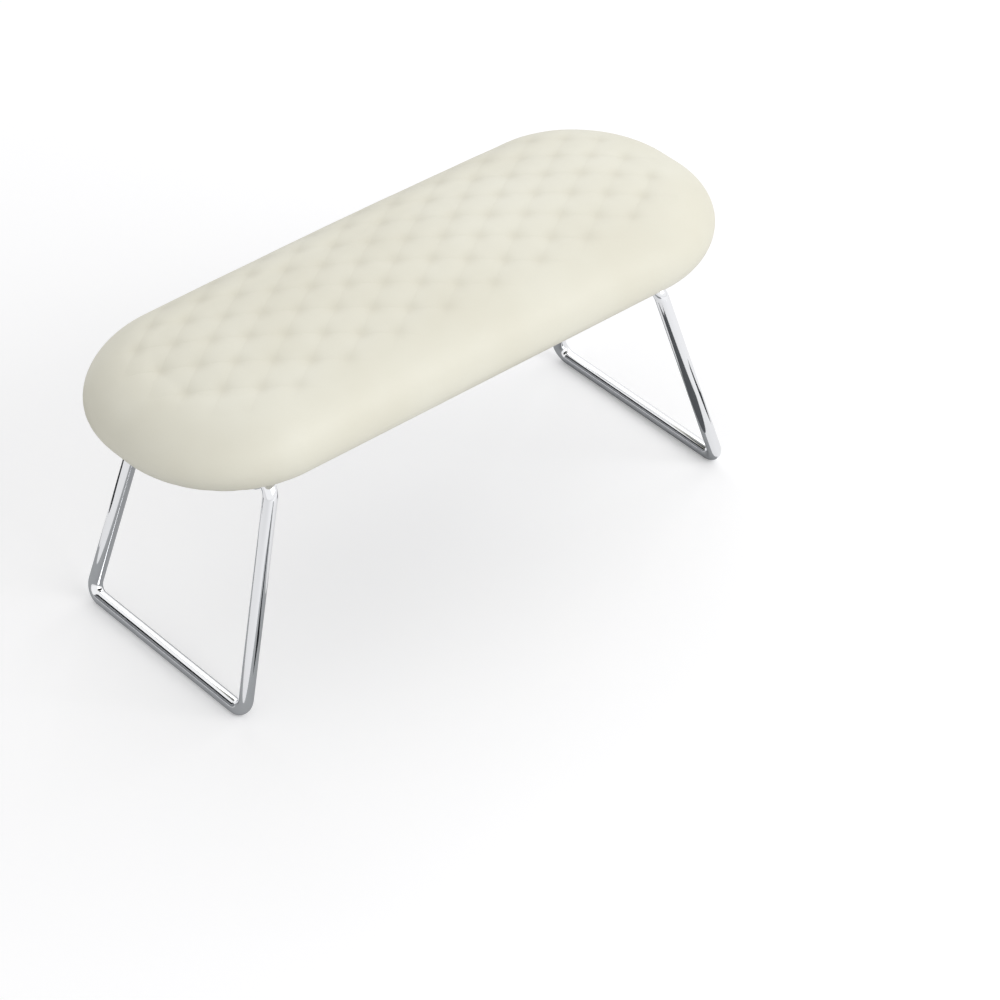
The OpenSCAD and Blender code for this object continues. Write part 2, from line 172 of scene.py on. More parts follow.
def addRoom():
    world = bpy.data.worlds.new("whiteRoom")
    bpy.context.scene.world = world
    world.use_nodes = True
    tree = world.node_tree
    tree.nodes.clear()
    path = addNode(tree, "ShaderNodeLightPath")
    seen = addNode(tree, "ShaderNodeMath", links={0: (path, "Is Camera Ray"), 1: (path, "Is Glossy Ray")},
                   operation="MAXIMUM")
    seen = addNode(tree, "ShaderNodeMath", links={0: (seen, 0), 1: (path, "Is Transmission Ray")},
                   operation="MAXIMUM")
    room = addNode(tree, "ShaderNodeBackground", {"Color": grey(1.0), "Strength": studio["room"]})
    white = addNode(tree, "ShaderNodeBackground", {"Color": grey(1.0), "Strength": 1.0})
    mixed = addNode(tree, "ShaderNodeMixShader", links={0: (seen, 0), 1: (room, 0), 2: (white, 0)})
    addNode(tree, "ShaderNodeOutputWorld", links={"Surface": (mixed, 0)})


def paperMaterial():
    material, tree = newMaterial("studioPaper")  # matt white paper
    path = addNode(tree, "ShaderNodeLightPath")
    colour = addNode(tree, "ShaderNodeMix",
                     {6: hexColour(studio["paperBounce"]), 7: hexColour(studio["paper"])},
                     {0: (path, "Is Camera Ray")}, data_type="RGBA")
    matt = addNode(tree, "ShaderNodeBsdfDiffuse", links={"Color": (colour, 2)})
    seen = addNode(tree, "ShaderNodeMath", links={0: (path, "Is Camera Ray"), 1: (path, "Is Glossy Ray")},
                   operation="MAXIMUM")
    glow = addNode(tree, "ShaderNodeMath", {1: studio["paperGlow"]}, {0: (seen, 0)}, operation="MULTIPLY")
    white = addNode(tree, "ShaderNodeEmission", {"Color": grey(1.0)}, {"Strength": (glow, 0)})
    return endMaterial(material, tree,
                       addNode(tree, "ShaderNodeAddShader", links={0: (matt, 0), 1: (white, 0)}))


def addFloor():
    material = paperMaterial()
    turns = [math.radians(a) for a in range(0, 360, 5)]
    edge = [(studio["floorRadius"] * math.cos(t), studio["floorRadius"] * math.sin(t), 0) for t in turns]
    mesh = bpy.data.meshes.new("floor")
    mesh.from_pydata(edge, [], [list(range(len(edge)))])
    mesh.materials.append(material)
    floor = bpy.data.objects.new("floor", mesh)
    bpy.context.scene.collection.objects.link(floor)


def addCards():
    for number, (corner, first, second, shade) in enumerate(studio["cards"]):
        material, tree = newMaterial("darkCard_" + str(number))  # matt painted card
        endMaterial(material, tree, addNode(tree, "ShaderNodeBsdfDiffuse", {"Color": hexColour(shade)}))
        corner, first, second = Vector(corner), Vector(first), Vector(second)
        mesh = bpy.data.meshes.new("card")
        outline = [corner, corner + first, corner + first + second, corner + second]
        mesh.from_pydata(outline, [], [(0, 1, 2, 3)])
        mesh.materials.append(material)
        card = bpy.data.objects.new("card_" + str(number), mesh)
        bpy.context.scene.collection.objects.link(card)
        card.visible_camera = card.visible_diffuse = card.visible_shadow = False
        card.visible_transmission = False


def addLamps():
    for name, place, size, watts in studio["lamps"]:
        lamp = bpy.data.lights.new(name, "AREA")
        lamp.shape, lamp.size, lamp.size_y, lamp.energy = "RECTANGLE", size[0], size[1], watts
        holder = bpy.data.objects.new(name, lamp)
        holder.location = place
        aim = Vector(place) - Vector(studio["aim"])
        holder.rotation_euler = aim.to_track_quat("Z", "Y").to_euler()
        bpy.context.scene.collection.objects.link(holder)


addRoom()
addFloor()
addCards()
addLamps()
bpy.context.scene.view_settings.view_transform = "Standard"
print("camera and studio made")

# Ivory polyurethane leather: a calendered satin film with a fine pebble grain
leather = {
    "light": "#E6E4D6",
    "body": "#E0DDCD",
    "paintedShade": "#CDC8B6",           # painted shade where the channels cross, and faintly along them
    "grainMm": 1.0,              # pebbles, twice the real 0.5 mm so that they show
    "cloudMm": 70,               # slow change of tone across the hide
}


def leatherMaterial():
    material, tree = newMaterial("polyurethaneLeather")
    place = addNode(tree, "ShaderNodeTexCoord")
    cloud = addNode(tree, "ShaderNodeTexNoise", {"Scale": perMetre(leather["cloudMm"]), "Detail": 3.0},
                    {"Vector": (place, "Object")})
    tone = addNode(tree, "ShaderNodeValToRGB", links={"Fac": (cloud, 0)},
                   ramp=[(0.35, hexColour(leather["body"])), (0.7, hexColour(leather["light"]))])
    # the "pressed" attribute says where painted shade darkens the leather
    pressed = addNode(tree, "ShaderNodeAttribute", attribute_name="pressed")
    colour = addNode(tree, "ShaderNodeMix", {7: hexColour(leather["paintedShade"])},
                     {0: (pressed, "Fac"), 6: (tone, "Color")}, data_type="RGBA")
    grain = addNode(tree, "ShaderNodeTexVoronoi", {"Scale": perMetre(leather["grainMm"])},
                    {"Vector": (place, "Object")}, feature="SMOOTH_F1")
    pore = addNode(tree, "ShaderNodeTexNoise", {"Scale": perMetre(leather["grainMm"] * 3), "Detail": 4.0},
                   {"Vector": (place, "Object")})
    height = addNode(tree, "ShaderNodeMix", {0: 0.4}, {2: (grain, "Distance"), 3: (pore, 0)},
                     data_type="FLOAT")
    bump = addNode(tree, "ShaderNodeBump", {"Strength": 0.2, "Distance": 0.12 * mm},
                   {"Height": (height, 0)})
    gloss = addNode(tree, "ShaderNodeValToRGB", links={"Fac": (pore, 0)},
                    ramp=[(0.3, grey(0.46)), (0.75, grey(0.54))])
    shader = addNode(tree, "ShaderNodeBsdfPrincipled", {"IOR": 1.5},
                     {"Base Color": (colour, 2), "Roughness": (gloss, "Color"), "Normal": (bump, 0)})
    return endMaterial(material, tree, shader)


# Bright chromium plate over drawn steel wire: a mirror with a faint polishing haze
chrome = {"metal": "#EFF0F2", "hazeMm": 9, "smooth": 0.04, "hazy": 0.09}


def chromeMaterial():
    material, tree = newMaterial("chromiumPlate")
    place = addNode(tree, "ShaderNodeTexCoord")
    haze = addNode(tree, "ShaderNodeTexNoise", {"Scale": perMetre(chrome["hazeMm"]), "Detail": 5.0},
                   {"Vector": (place, "Object")})
    gloss = addNode(tree, "ShaderNodeValToRGB", links={"Fac": (haze, 0)},
                    ramp=[(0.35, grey(chrome["smooth"])), (0.8, grey(chrome["hazy"]))])
    ripple = addNode(tree, "ShaderNodeBump", {"Strength": 0.03, "Distance": 0.05 * mm},
                     {"Height": (haze, 0)})
    shader = addNode(tree, "ShaderNodeBsdfPrincipled",
                     {"Base Color": hexColour(chrome["metal"]), "Metallic": 1.0},
                     {"Roughness": (gloss, "Color"), "Normal": (ripple, 0)})
    return endMaterial(material, tree, shader)


# Zinc-plated pressed steel: satin grey with a cloudy plate
zinc = {"bright": "#CFD2D3", "dull": "#A9ADAF", "cloudMm": 4.0}


def zincMaterial():
    material, tree = newMaterial("zincPlatedSteel")
    place = addNode(tree, "ShaderNodeTexCoord")
    cloud = addNode(tree, "ShaderNodeTexNoise", {"Scale": perMetre(zinc["cloudMm"]), "Detail": 6.0},
                    {"Vector": (place, "Object")})
    colour = addNode(tree, "ShaderNodeValToRGB", links={"Fac": (cloud, 0)},
                     ramp=[(0.35, hexColour(zinc["dull"])), (0.65, hexColour(zinc["bright"]))])
    gloss = addNode(tree, "ShaderNodeValToRGB", links={"Fac": (cloud, 0)},
                    ramp=[(0.3, grey(0.42)), (0.7, grey(0.27))])
    bump = addNode(tree, "ShaderNodeBump", {"Strength": 0.08, "Distance": 0.05 * mm},
                   {"Height": (cloud, 0)})
    shader = addNode(tree, "ShaderNodeBsdfPrincipled", {"Metallic": 1.0},
                     {"Base Color": (colour, "Color"), "Roughness": (gloss, "Color"), "Normal": (bump, 0)})
    return endMaterial(material, tree, shader)


# Moulded natural nylon: milky and slightly waxy, with faint flow marks
nylon = {"milky": "#DEDBCD", "clear": "#EBE9DF", "flowMm": 5.0}


def nylonMaterial():
    material, tree = newMaterial("mouldedNylon")
    place = addNode(tree, "ShaderNodeTexCoord")
    flow = addNode(tree, "ShaderNodeTexNoise", {"Scale": perMetre(nylon["flowMm"]), "Detail": 3.0},
                   {"Vector": (place, "Object")})
    colour = addNode(tree, "ShaderNodeValToRGB", links={"Fac": (flow, 0)},
                     ramp=[(0.3, hexColour(nylon["milky"])), (0.7, hexColour(nylon["clear"]))])
    bump = addNode(tree, "ShaderNodeBump", {"Strength": 0.1, "Distance": 0.05 * mm},
                   {"Height": (flow, 0)})
    shader = addNode(tree, "ShaderNodeBsdfPrincipled", {"Roughness": 0.42, "IOR": 1.53},
                     {"Base Color": (colour, "Color"), "Normal": (bump, 0)})
    return endMaterial(material, tree, shader)


# Black-oxide steel: dark and oily, rubbed brighter where it slides
blackSteel = {"oxide": "#232427", "rubbed": "#4A4B4E", "rubMm": 3.0}


def blackSteelMaterial():
    material, tree = newMaterial("blackOxideSteel")
    place = addNode(tree, "ShaderNodeTexCoord")
    rub = addNode(tree, "ShaderNodeTexNoise", {"Scale": perMetre(blackSteel["rubMm"]), "Detail": 6.0},
                  {"Vector": (place, "Object")})
    colour = addNode(tree, "ShaderNodeValToRGB", links={"Fac": (rub, 0)},
                     ramp=[(0.45, hexColour(blackSteel["oxide"])), (0.8, hexColour(blackSteel["rubbed"]))])
    shader = addNode(tree, "ShaderNodeBsdfPrincipled", {"Metallic": 0.85, "Roughness": 0.45},
                     {"Base Color": (colour, "Color")})
    return endMaterial(material, tree, shader)


# Sanded birch plywood: pale, with straight darker grain along its length
plywood = {"pale": "#DCC193", "grain": "#B8935F", "grainMm": 2.2}


def plywoodMaterial():
    material, tree = newMaterial("birchPlywood")
    place = addNode(tree, "ShaderNodeTexCoord")
    drawn = addNode(tree, "ShaderNodeMapping", {"Scale": (0.06, 1.0, 1.0)}, {"Vector": (place, "Object")})
    grain = addNode(tree, "ShaderNodeTexNoise",
                    {"Scale": perMetre(plywood["grainMm"]), "Detail": 8.0, "Distortion": 0.4},
                    {"Vector": (drawn, 0)})
    colour = addNode(tree, "ShaderNodeValToRGB", links={"Fac": (grain, 0)},
                     ramp=[(0.3, hexColour(plywood["grain"])), (0.7, hexColour(plywood["pale"]))])
    bump = addNode(tree, "ShaderNodeBump", {"Strength": 0.15, "Distance": 0.1 * mm},
                   {"Height": (grain, 0)})
    shader = addNode(tree, "ShaderNodeBsdfPrincipled", {"Roughness": 0.62},
                     {"Base Color": (colour, "Color"), "Normal": (bump, 0)})
    return endMaterial(material, tree, shader)


# Spunbond lining: matt non-woven fibre with rows of small bonding dots
lining = {"fibre": "#303135", "gap": "#222326", "dotMm": 1.6, "fibreMm": 1.0}


def liningMaterial():
    material, tree = newMaterial("spunbondLining")
    place = addNode(tree, "ShaderNodeTexCoord")
    dots = addNode(tree, "ShaderNodeTexVoronoi", {"Scale": perMetre(lining["dotMm"]), "Randomness": 0.0},
                   {"Vector": (place, "Object")})
    fibre = addNode(tree, "ShaderNodeTexNoise",
                    {"Scale": perMetre(lining["fibreMm"]), "Detail": 8.0, "Distortion": 1.5},
                    {"Vector": (place, "Object")})
    colour = addNode(tree, "ShaderNodeValToRGB", links={"Fac": (fibre, 0)},
                     ramp=[(0.3, hexColour(lining["gap"])), (0.7, hexColour(lining["fibre"]))])
    height = addNode(tree, "ShaderNodeMix", {0: 0.4}, {2: (dots, "Distance"), 3: (fibre, 0)},
                     data_type="FLOAT")
    bump = addNode(tree, "ShaderNodeBump", {"Strength": 0.5, "Distance": 0.2 * mm},
                   {"Height": (height, 0)})
    shader = addNode(tree, "ShaderNodeBsdfPrincipled", {"Roughness": 0.9},
                     {"Base Color": (colour, "Color"), "Normal": (bump, 0)})
    return endMaterial(material, tree, shader)


# Open-cell upholstery foam: matt straw colour with fine pores
foam = {"pore": "#CDB97F", "wall": "#EADCA9", "cellMm": 0.9}


def foamMaterial():
    material, tree = newMaterial("openCellFoam")
    place = addNode(tree, "ShaderNodeTexCoord")
    cells = addNode(tree, "ShaderNodeTexVoronoi", {"Scale": perMetre(foam["cellMm"])},
                    {"Vector": (place, "Object")})
    colour = addNode(tree, "ShaderNodeValToRGB", links={"Fac": (cells, "Distance")},
                     ramp=[(0.1, hexColour(foam["pore"])), (0.6, hexColour(foam["wall"]))])
    bump = addNode(tree, "ShaderNodeBump", {"Strength": 0.6, "Distance": 0.3 * mm},
                   {"Height": (cells, "Distance")})
    shader = addNode(tree, "ShaderNodeBsdfPrincipled", {"Roughness": 0.95},
                     {"Base Color": (colour, "Color"), "Normal": (bump, 0)})
    return endMaterial(material, tree, shader)


dressNodes(["left_leg", "right_leg"], chromeMaterial())
zincSteel = zincMaterial()
corners = [side + "_" + end for side in ("left", "right") for end in ("front", "back")]
dressNodes(["plate_" + c for c in corners] + ["saddle_" + c for c in corners], zincSteel)
dressNodes(["bracket_screws", "staples"], zincSteel)
dressNodes(["bush_" + c for c in corners], nylonMaterial())
dressNodes(["cam_" + c for c in corners], blackSteelMaterial())
dressNodes(["base_board"], plywoodMaterial())
print("hardware dressed")

# The cushion's form: an oblong of rounded ends, rounded under at its foot and over at its shoulder
coverLow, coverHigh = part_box("cover")
form = {
    "halfLength": coverHigh[0],
    "halfWidth": coverHigh[1],
    "endFlat": 11 * mm,          # straight part of each end
    "lowerRound": 15 * mm,
    "upperRound": 36 * mm,
    "crown": 2.5 * mm,           # rise of the top from its shoulder to its middle
    "base": coverLow[2],
    "height": 43.3 * mm,
    "skin": 1.2 * mm,            # thickness of the leather
    "foamGap": 0.3 * mm,         # room between the foam and the pieces around it
    "hem": 26 * mm,              # how far the leather is turned in under the board
    "lidShare": 0.6,             # how far in from the shoulder the leather's flat inner lid begins
    "endSwell": 2 * mm,          # how far the stuffed ends stand out beyond the even form
    "endSwellPower": 4,          # the more, the nearer to the ends that begins
    "lengthCrown": 0.22,         # share of the rise by which the ends lie lower than the middle
    "levelAt": 0.5,              # share of the half length where the rise is the even form's
}
form["cornerRadius"] = form["halfWidth"] - form["endFlat"] / 2
form["cornerX"] = form["halfLength"] - form["cornerRadius"]
form["cornerY"] = form["halfWidth"] - form["cornerRadius"]
form["rise"] = form["height"] - form["crown"] - form["lowerRound"]
form["foamInset"] = form["skin"] + form["foamGap"]

# How finely the cushion's meshes are divided
division = {
    "arc": 48,                   # steps of a ring's quarter round,
    "side": 110,                 # of its long side
    "end": 5,                    # and of its short end
    "hem": 6,                    # rings of the turned-in leather,
    "outer": (12, 14),           # of its outer face's foot and shoulder,
    "inner": (6, 8),             # of its inner face's
    "foam": (8, 12),             # and of the foam's
    "foamTop": (12 * mm, 24 * mm),  # the foam's last rings lie this far inside its shoulder
}

# Pressed diamond quilting, flatter between its channels than a sewn one
quilt = {
    "length": 32.6 * mm,         # a diamond, along the cushion
    "width": 23.2 * mm,          # and across it
    "middle": (-7.0 * mm, 1.3 * mm),  # the crossing next to the cushion's centre
    "slant": 0.088,              # the leather was laid on slightly askew: its rows across lean,
    "turn": 0.013,               # and its rows along turn
    "towardsBack": 6 * mm,       # and the quilted field lies this much off the middle
    "shortOf": 7 * mm,           # and ends this much sooner at the two ends than at the sides
    "channel": 0.32 * mm,        # how deep the channels lie below the pillows
    "softness": 0.75,            # a channel's section: 0.5 is a crease, 1 a round valley
    "crossing": 0.75 * mm,       # extra depth where two channels cross
    "crossingRadius": 5.0 * mm,
    "start": 10 * mm,            # distance inside the outline where the quilting begins
    "full": 27 * mm,             # and where it has its whole depth
    "channelShade": 0.08,         # how strongly painted shade darkens a channel,
    "channelShadeEnd": 1.6,       # the more, the narrower that shade,
    "crossingShade": 0.3,         # and how strongly painted shade darkens a crossing
    "crossingShadeEnd": 1.3,
    "fieldEdge": 8 * mm,         # the field's own mesh begins here
    "fieldGap": 0.35 * mm,       # and keeps at least this much off the ring around it
    "fieldRows": 10,             # rows of diamonds to each side of the middle crossing
    "cuts": [0, 0.018, 0.04, 0.07, 0.11, 0.165, 0.235, 0.32, 0.41],  # mesh lines in half a diamond
}
quilt["deepest"] = quilt["channel"] + quilt["crossing"]


def depthAt(x, y):  # distance inside the outline
    dx, dy = abs(x) - form["cornerX"], abs(y) - form["cornerY"]
    return form["cornerRadius"] - math.hypot(max(dx, 0), max(dy, 0)) - min(max(dx, dy), 0)


def smooth(value):
    value = min(max(value, 0), 1)
    return value * value * (3 - 2 * value)


def topAt(depth):  # height of the even form's face there
    edge = 1 - min(depth / form["upperRound"], 1)
    inner = 1 - max(depth - form["upperRound"], 0) / (form["halfWidth"] - form["upperRound"])
    return (form["base"] + form["lowerRound"] + form["rise"] * math.sqrt(max(1 - edge * edge, 0))
            + form["crown"] * (1 - inner * inner))


def quiltPlan(u, v):  # from the leather's own diamond rows to the cushion's plan
    along, across = (u + v) / 2 * quilt["length"], (v - u) / 2 * quilt["width"]
    return (quilt["middle"][0] + along + quilt["slant"] * across,
            quilt["middle"][1] + across + quilt["turn"] * along)


def quiltRows(x, y):  # and back
    x, y = x - quilt["middle"][0], y - quilt["middle"][1]
    even = 1 - quilt["slant"] * quilt["turn"]
    along = (x - quilt["slant"] * y) / even / quilt["length"]
    across = (y - quilt["turn"] * x) / even / quilt["width"]
    return along - across, along + across


def quiltAt(x, y):  # how far the leather is pressed in, and how much painted shade it gets
    u, v = quiltRows(x, y)
    inside = depthAt(abs(x) + quilt["shortOf"], y - quilt["towardsBack"])
    fade = smooth((inside - quilt["start"]) / (quilt["full"] - quilt["start"]))
    first, second = abs(math.sin(math.pi * u)), abs(math.sin(math.pi * v))
    pillow = (first * second) ** quilt["softness"]
    nearU, nearV = u - round(u), v - round(v)
    nodeX = (nearU + nearV) / 2 * quilt["length"]
    nodeY = (nearV - nearU) / 2 * quilt["width"]
    crossing = math.exp(-(nodeX ** 2 + nodeY ** 2) / quilt["crossingRadius"] ** 2)
    # painted shade: darker along the channels and most at the crossings
    shadeMark = (quilt["channelShade"] * max(1 - pillow * quilt["channelShadeEnd"], 0)
            + quilt["crossingShade"] * crossing ** quilt["crossingShadeEnd"])
    return fade * (quilt["channel"] * (1 - pillow) + quilt["crossing"] * crossing), fade * shadeMark


def shaped(x, y, z):  # a point of the even form, moved to where the stuffed cushion has it
    reach = abs(x) / form["halfLength"]
    low = form["base"] + form["lowerRound"]
    out = (form["endSwell"] * reach ** form["endSwellPower"]
           * smooth((z - form["base"]) / form["lowerRound"]))
    if z > low:
        z = low + (z - low) * (1 + form["lengthCrown"] * (form["levelAt"] ** 2 - reach * reach))
    return x + math.copysign(out, x), y, z


def ringAt(inset):  # counter-clockwise from the right end's rear corner
    radius = form["cornerRadius"] - inset
    points = []
    side, end = division["side"], division["end"]
    for signX, signY, start, steps in ((1, 1, 0, side), (-1, 1, 90, end),
                                       (-1, -1, 180, side), (1, -1, 270, end)):
        cx, cy = signX * form["cornerX"], signY * form["cornerY"]
        for k in range(division["arc"]):
            angle = math.radians(start + 90 * k / division["arc"])
            points.append((cx + radius * math.cos(angle), cy + radius * math.sin(angle)))
        turn = math.radians(start + 90)
        ax, ay = cx + radius * math.cos(turn), cy + radius * math.sin(turn)
        bx, by = (-ax, ay) if steps == side else (ax, -ay)
        points += [(ax + (bx - ax) * k / steps, ay + (by - ay) * k / steps) for k in range(steps)]
    return points


def sideStations(inset, lowerSteps, upperSteps, upTo):  # (inset, height) from the foot's edge upwards
    stations = []
    for k in range(lowerSteps + 1):
        angle, radius = math.radians(90 * k / lowerSteps), form["lowerRound"] - inset
        stations.append((inset + radius * (1 - math.sin(angle)),
                         form["base"] + inset + radius * (1 - math.cos(angle))))
    last = math.acos(1 - (upTo - inset) / (form["upperRound"] - inset))
    for k in range(1, upperSteps + 1):
        angle, radius = last * k / upperSteps, form["upperRound"] - inset
        stations.append((inset + radius * (1 - math.cos(angle)),
                         form["base"] + form["lowerRound"] + (form["rise"] - inset) * math.sin(angle)))
    return stations


def bandFaces(count, size, start=0):
    return [(start + k * size + i, start + k * size + (i + 1) % size,
             start + (k + 1) * size + (i + 1) % size, start + (k + 1) * size + i)
            for k in range(count - 1) for i in range(size)]


def quiltField(edgeDepth):  # a mesh of the plan whose rows run along the channels
    steps = quilt["cuts"] + [0.5] + [1 - c for c in quilt["cuts"][:0:-1]]
    cuts = [c + k for k in range(-quilt["fieldRows"], quilt["fieldRows"]) for c in steps]
    index, points = {}, []
    for i, u in enumerate(cuts):
        for j, v in enumerate(cuts):
            x, y = quiltPlan(u, v)
            if depthAt(x, y) > edgeDepth + quilt["fieldGap"]:
                index[i, j] = len(points)
                points.append((x, y))
    faces = []
    for (i, j) in index:
        square = [(i, j), (i + 1, j), (i + 1, j + 1), (i, j + 1)]
        if all(c in index for c in square):
            faces.append(tuple(index[c] for c in square))
    used = sorted({p for face in faces for p in face})
    fresh = {p: k for k, p in enumerate(used)}
    return [points[p] for p in used], [tuple(fresh[p] for p in face) for face in faces]


def borderEdges(faces):  # the edges that only one face has
    seen = {}
    for face in faces:
        for a, b in zip(face, face[1:] + face[:1]):
            seen[min(a, b), max(a, b)] = seen.get((min(a, b), max(a, b)), 0) + 1
    return [edge for edge, count in seen.items() if count == 1]


def joinFaces(ring, field, border):  # triangles between the last ring and the field's border
    rim = sorted({k for edge in border for k in edge})
    places = [Vector(p) for p in ring] + [Vector(field[k]) for k in rim]
    inner = {k: len(ring) + n for n, k in enumerate(rim)}
    edges = [(k, (k + 1) % len(ring)) for k in range(len(ring))]
    edges += [(inner[a], inner[b]) for a, b in border]
    insideOnly, samePoint = 1, 1e-9  # the kind of output, and metres under which points are one
    made = delaunay_2d_cdt(places, edges, [], insideOnly, samePoint)
    back = [source[0] for source in made[3]]
    triangles = [[back[c] for c in face] for face in made[2]]
    walls = {(min(a, b), max(a, b)) for a, b in edges}
    owners = {}
    for number, face in enumerate(triangles):
        for a, b in zip(face, face[1:] + face[:1]):
            owners.setdefault((min(a, b), max(a, b)), []).append(number)
    kept = {number for number, face in enumerate(triangles) if min(face) < len(ring)}
    waiting = list(kept)
    while waiting:  # spreads into the notches of the jagged border, but not across it
        face = triangles[waiting.pop()]
        for a, b in zip(face, face[1:] + face[:1]):
            edge = (min(a, b), max(a, b))
            for other in owners[edge] if edge not in walls else []:
                if other not in kept:
                    kept.add(other)
                    waiting.append(other)
    joined = []
    for number in sorted(kept):
        ends = triangles[number]
        a, b, c = (places[k] for k in ends)
        if (b - a).cross(c - a) < 0:
            ends.reverse()
        joined.append([("ring", k) if k < len(ring) else ("field", rim[k - len(ring)]) for k in ends])
    return joined


def coverMesh():  # also says where its inner face begins
    stations = [(form["hem"] + (form["lowerRound"] - form["hem"]) * k / division["hem"], form["base"])
                for k in range(division["hem"])]
    stations += sideStations(0, *division["outer"], quilt["fieldEdge"])
    points, size = [], len(ringAt(0))
    for inset, height in stations:
        points += [(x, y, height) for x, y in ringAt(inset)]
    faces = bandFaces(len(stations), size)
    lastRing = (len(stations) - 1) * size
    field, fieldFaces = quiltField(quilt["fieldEdge"])
    start = len(points)
    points += [(x, y, topAt(depthAt(x, y))) for x, y in field]
    faces += [tuple(start + k for k in face) for face in fieldFaces]
    for triangle in joinFaces(ringAt(quilt["fieldEdge"]), field, borderEdges(fieldFaces)):
        faces.append(tuple(lastRing + k if kind == "ring" else start + k for kind, k in triangle))
    inner = [(form["hem"], form["base"] + form["skin"])]
    inner += sideStations(form["skin"], *division["inner"], form["upperRound"])
    startInner = len(points)
    for inset, height in inner:
        share = smooth((height - form["base"] - form["lowerRound"]) / form["rise"])
        points += [(x, y, height - share * quilt["deepest"]) for x, y in ringAt(inset)]
    lid = form["upperRound"] + (form["cornerRadius"] - form["upperRound"]) * form["lidShare"]
    points += [(x, y, topAt(lid) - form["skin"] - quilt["deepest"]) for x, y in ringAt(lid)]
    faces += [face[::-1] for face in bandFaces(len(inner) + 1, size, startInner)]
    faces.append(tuple(startInner + len(inner) * size + k for k in range(size))[::-1])
    faces += [(k, startInner + k, startInner + (k + 1) % size, (k + 1) % size) for k in range(size)]
    return points, faces, startInner


def foamRings():  # (inset, height) from the foot's edge to the middle of the top
    stations = sideStations(form["foamInset"], *division["foam"], form["upperRound"])
    for farther in division["foamTop"]:
        offset = form["upperRound"] + farther
        stations.append((offset, topAt(offset) - form["foamInset"]))
    low = form["base"] + form["lowerRound"]
    return [(offset, height - quilt["deepest"] * smooth((height - low) / form["rise"]))
            for offset, height in stations]


def ringMesh(stations):  # a closed body of shaped rings
    points = [shaped(x, y, height) for offset, height in stations for x, y in ringAt(offset)]
    size = len(ringAt(0))
    faces = bandFaces(len(stations), size)
    faces.append(tuple(range(size))[::-1])
    faces.append(tuple((len(stations) - 1) * size + k for k in range(size)))
    return points, faces


# The stuffed leather's softness: the foam's form is blown up as cloth, and each place keeps a share of
# its swell
swell = {
    "voxel": 5 * mm,
    "pressure": 4.0,
    "frames": 20,
    "cap": 16 * mm,              # farthest that a point may go
    "held": 4 * mm,              # the foot is stapled down to this height
    "blur": 7 * mm,              # each place takes the mean of the points around it,
    "blurReach": 2.2,            # as far off as this many blurs
    "out": 0.14,                 # share of the swell that the firm foam's leather keeps
    "in": 0.10,                  # and of the pull at the sides, where foam stands behind it
    "start": 2 * mm,             # height over the foot where the swell begins
    "over": 10 * mm,             # and how much higher it's whole
}


def swellField():  # a function of place: how far the stuffed form stands out there
    points, faces = ringMesh(foamRings())
    mesh = bpy.data.meshes.new("blown")
    mesh.from_pydata(points, [], faces)
    blown = bpy.data.objects.new("blown", mesh)
    bpy.context.scene.collection.objects.link(blown)
    coarse = blown.modifiers.new("coarse", "REMESH")
    coarse.mode, coarse.voxel_size = "VOXEL", swell["voxel"]
    start = bpy.data.meshes.new_from_object(blown.evaluated_get(bpy.context.evaluated_depsgraph_get()))
    blown.modifiers.clear()
    blown.data = start
    held = blown.vertex_groups.new(name="held")
    foot = form["base"] + form["skin"] + swell["held"]
    held.add([v.index for v in start.vertices if v.co.z < foot], 1.0, "REPLACE")
    cloth = blown.modifiers.new("stuffed", "CLOTH")
    cloth.settings.use_pressure = True
    cloth.settings.uniform_pressure_force = swell["pressure"]
    cloth.settings.vertex_group_mass = "held"
    cloth.settings.effector_weights.gravity = 0
    scene = bpy.context.scene
    for number in range(1, swell["frames"] + 1):
        scene.frame_set(number)
    made = bpy.data.meshes.new_from_object(blown.evaluated_get(bpy.context.evaluated_depsgraph_get()))
    growth = []
    for before, after in zip(start.vertices, made.vertices):
        step = after.co - before.co
        growth.append(min(step.length, swell["cap"]) * (1 if step.dot(before.normal) > 0 else -1))
    print("swell: least", round(min(growth) / mm, 2), "most", round(max(growth) / mm, 2))
    tree = kdtree.KDTree(len(growth))
    for vertex in start.vertices:
        tree.insert(vertex.co, vertex.index)
    tree.balance()
    scene.frame_set(1)
    bpy.data.objects.remove(blown)
    for spent in (mesh, start, made):
        bpy.data.meshes.remove(spent)

    def at(place):
        near = [(index, math.exp(-(distance / swell["blur"]) ** 2))
                for found, index, distance in tree.find_range(place, swell["blurReach"] * swell["blur"])]
        total = sum(weight for index, weight in near)
        value = sum(growth[index] * weight for index, weight in near) / total
        kept = swell["out" if value > 0 else "in"]
        return value * kept * smooth((place.z - form["base"] - swell["start"]) / swell["over"])
    return at


swellAt = swellField()


def movePoints(mesh, amounts):  # outwards
    mesh.update()
    normals = [vertex.normal.copy() for vertex in mesh.vertices]
    for vertex, normal, amount in zip(mesh.vertices, normals, amounts):
        vertex.co += normal * amount
    mesh.update()


# Gathers in the leather where it's drawn in under the rounded corners
gathers = {
    "perCorner": 7,
    "depth": 0.9 * mm,
    "start": 2 * mm,             # distance inside the outline where they begin
    "full": 14 * mm,             # and where they have their whole depth
    "uneven": 1.3,               # how far they stray from even spacing, in radians of a fold
    "unevenTurns": 5,
    "narrow": 1.5,               # the more, the narrower they are
}


def gatherAt(x, y):  # how far the leather is drawn in there
    dx, dy = abs(x) - form["cornerX"], abs(y) - form["cornerY"]
    if min(dx, dy) <= 0:
        return 0
    turn = math.atan2(dy, dx)
    stray = gathers["uneven"] * math.sin(turn * gathers["unevenTurns"])
    fold = max(math.sin(turn * gathers["perCorner"] * 4 + stray), 0) ** gathers["narrow"]
    inner = smooth((depthAt(x, y) - gathers["start"]) / (gathers["full"] - gathers["start"]))
    return gathers["depth"] * fold * inner * smooth(2 * math.sin(2 * turn))


